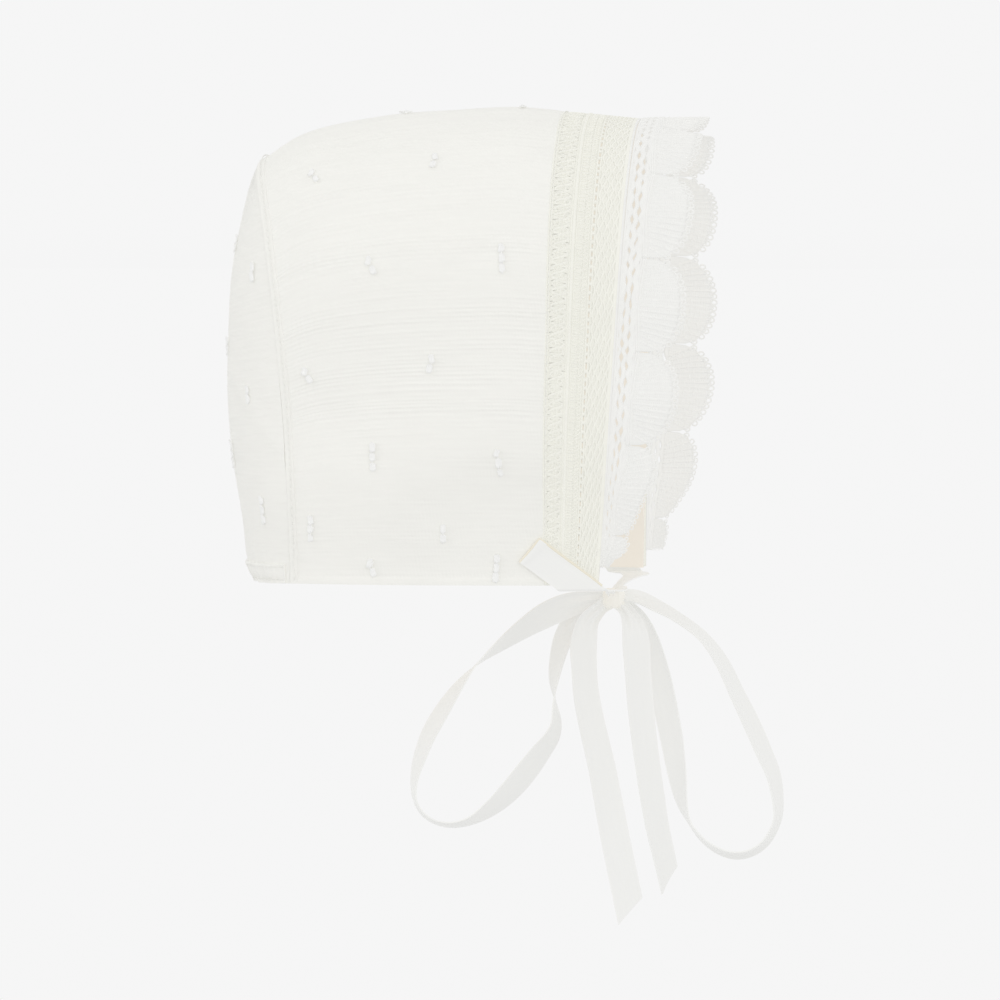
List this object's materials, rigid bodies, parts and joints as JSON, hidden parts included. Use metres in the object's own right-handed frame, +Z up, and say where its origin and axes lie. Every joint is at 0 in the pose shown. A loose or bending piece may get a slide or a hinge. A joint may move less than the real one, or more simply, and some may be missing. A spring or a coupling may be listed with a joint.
{
  "type": "baby bonnet",
  "caption": "Ivory gauze baby bonnet with raised cloth dots, cream lining, lace band and scalloped lace ruffle round the face, gathered nape casing and ribbon ties in a bow.",
  "frame": {"origin": "the point inside the crown where the top of the head sits", "axes": "+Z up, +X out of the face opening, +Y to the wearer's left"},
  "size_m": [0.1894, 0.1171, 0.2777],
  "materials": {
    "gauze": "matt slubbed cotton gauze with raised white dots",
    "lining": "smooth cream cotton",
    "lace": "matt cotton lace",
    "ribbon": "satin ribbon"
  },
  "bodies": {
    "root": {"crown_panel": "gauze", "back_panel": "gauze", "back_seam": "gauze", "nape_casing": "gauze", "lining": "lining", "back_lining": "lining", "lace_band": "lace", "lace_ruffle": "lace", "tie_right": "ribbon", "tie_left": "ribbon", "bow_knot": "ribbon", "bow_loop_back": "ribbon", "bow_loop_front": "ribbon", "bow_tail_back": "ribbon", "bow_tail_front": "ribbon"}
  },
  "joints": []
}
